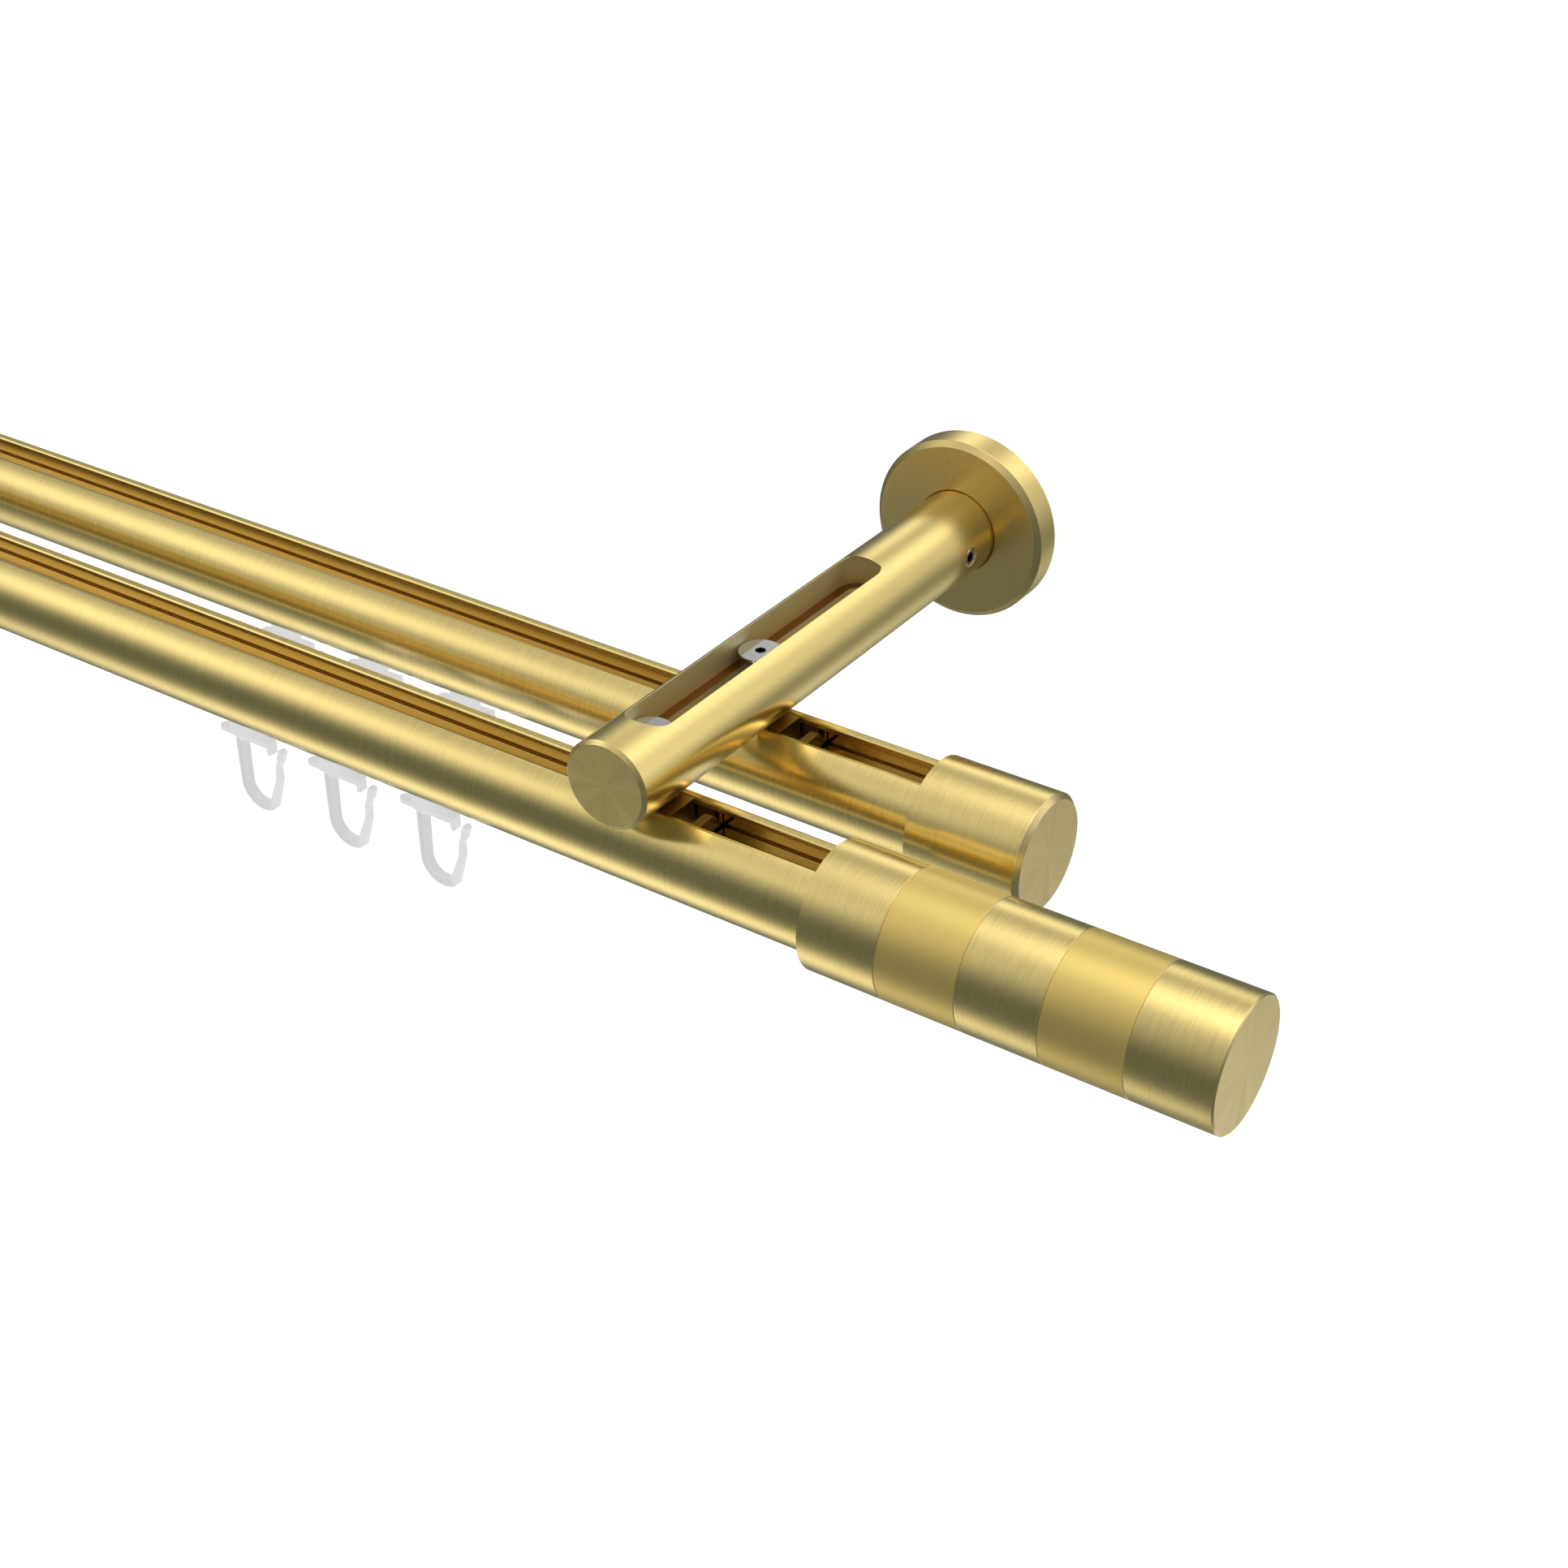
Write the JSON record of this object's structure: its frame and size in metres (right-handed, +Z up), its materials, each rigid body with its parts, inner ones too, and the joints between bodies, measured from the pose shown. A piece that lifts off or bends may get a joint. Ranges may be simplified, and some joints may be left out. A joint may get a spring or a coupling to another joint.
{
  "type": "curtain rod",
  "caption": "Two-run inner-track curtain rod on slotted round wall arms, with a banded finial, end caps and sliding plastic hook gliders.",
  "frame": {"origin": "where the axis of the right-hand arm meets the wall", "axes": "+X along the rods towards the right-hand finial, +Y into the wall, +Z up"},
  "size_m": [0.6, 0.1288, 0.0701],
  "materials": {
    "rod_brass": "brushed, brass-coloured, brush lines round the rod",
    "turned_brass": "turned and brushed, brush lines round the axis",
    "accent_brass": "fine satin, smoother and yellower than the other bands",
    "arm_brass": "brushed along the arm, turned front face",
    "nut_brass": "plain",
    "plate_steel": "zinc plated",
    "screw_steel": "zinc plated",
    "set_screw_chrome": "bright",
    "glider_plastic": "milky, lets light through"
  },
  "bodies": {
    "rail": {"front_rod": "rod_brass", "rear_rod": "rod_brass", "finial_sockets": "turned_brass", "finial_inner_rings": "accent_brass", "finial_spacers": "turned_brass", "finial_outer_rings": "accent_brass", "finial_ends": "turned_brass", "rear_end_caps": "turned_brass", "right_arm": "arm_brass", "left_arm": "arm_brass", "wall_plates": "plate_steel", "wall_rosettes": "turned_brass", "arm_set_screws": "set_screw_chrome", "clamp_screws": "screw_steel", "right_front_slot_nut": "nut_brass", "left_front_slot_nut": "nut_brass", "right_rear_slot_nut": "nut_brass", "left_rear_slot_nut": "nut_brass"},
    "front_glider_1_body": {"front_glider_1": "glider_plastic"},
    "front_glider_2_body": {"front_glider_2": "glider_plastic"},
    "front_glider_3_body": {"front_glider_3": "glider_plastic"},
    "rear_glider_1_body": {"rear_glider_1": "glider_plastic"},
    "rear_glider_2_body": {"rear_glider_2": "glider_plastic"},
    "rear_glider_3_body": {"rear_glider_3": "glider_plastic"}
  },
  "joints": [
    {"name": "front_glider_1_slide", "type": "slide", "parent": "rail", "child": "front_glider_1_body", "axis": [1, 0, 0], "range_m": [-0.00685, 0.094]},
    {"name": "front_glider_2_slide", "type": "slide", "parent": "rail", "child": "front_glider_2_body", "axis": [1, 0, 0], "range_m": [-0.00685, 0.00685]},
    {"name": "front_glider_3_slide", "type": "slide", "parent": "rail", "child": "front_glider_3_body", "axis": [1, 0, 0], "range_m": [-0.2902, 0.00685]},
    {"name": "rear_glider_1_slide", "type": "slide", "parent": "rail", "child": "rear_glider_1_body", "axis": [1, 0, 0], "range_m": [-0.00785, 0.1141]},
    {"name": "rear_glider_2_slide", "type": "slide", "parent": "rail", "child": "rear_glider_2_body", "axis": [1, 0, 0], "range_m": [-0.00785, 0.00785]},
    {"name": "rear_glider_3_slide", "type": "slide", "parent": "rail", "child": "rear_glider_3_body", "axis": [1, 0, 0], "range_m": [-0.2681, 0.00785]}
  ]
}
